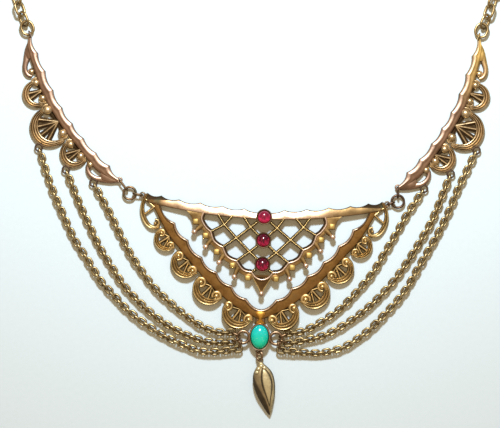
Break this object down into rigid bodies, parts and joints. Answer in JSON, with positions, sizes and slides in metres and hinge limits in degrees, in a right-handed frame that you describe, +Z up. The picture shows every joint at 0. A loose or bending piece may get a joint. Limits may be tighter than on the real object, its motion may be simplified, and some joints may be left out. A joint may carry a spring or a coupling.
{
  "type": "necklace",
  "caption": "Festoon necklace with a scalloped triangular plaque, pierced trellis and scrolls, side pieces, fine chain swags, a leaf-shaped drop, red and blue-green stones and a neck chain.",
  "frame": {"origin": "centre of the foot of the bounding box, on the surface that the necklace lies on", "axes": "+Y from the drop towards the clasp, +X to the right seen from above, +Z up out of the decorated face"},
  "size_m": [0.1218, 0.179, 0.0038],
  "materials": {
    "plaque": "satin gilt brass with brown patina in the recesses",
    "side_pieces": "rosy gilt brass, polished balls and rim",
    "red_stones": "ruby-red glass, polished dome",
    "blue_stone": "turquoise-green glass, polished dome",
    "joining_rings": "worn brown-gold wire",
    "fine_chain": "olive-gold wire with dark patina",
    "drop": "dark polished bronze colour",
    "neck_chain": "olive-gold wire with dark patina",
    "clasp": "plain satin brass"
  },
  "bodies": {
    "root": {"plaque": "plaque", "red_stone_top": "red_stones", "red_stone_middle": "red_stones", "red_stone_bottom": "red_stones", "blue_stone": "blue_stone", "side_piece_left": "side_pieces", "side_piece_right": "side_pieces", "side_link_left": "joining_rings", "jump_ring_left": "joining_rings", "corner_link_left": "joining_rings", "side_link_right": "joining_rings", "jump_ring_right": "joining_rings", "corner_link_right": "joining_rings", "swag_left_outer": "fine_chain", "swag_left_middle": "fine_chain", "swag_left_inner": "fine_chain", "swag_right_outer": "fine_chain", "swag_right_middle": "fine_chain", "swag_right_inner": "fine_chain", "swag_links_left_side": "fine_chain", "swag_links_left_ring": "fine_chain", "swag_links_right_side": "fine_chain", "swag_links_right_ring": "fine_chain", "drop_link": "joining_rings", "drop": "drop", "top_ring_left": "neck_chain", "top_ring_right": "neck_chain", "neck_chain_left": "neck_chain", "neck_chain_right": "neck_chain", "clasp": "clasp"}
  },
  "joints": []
}
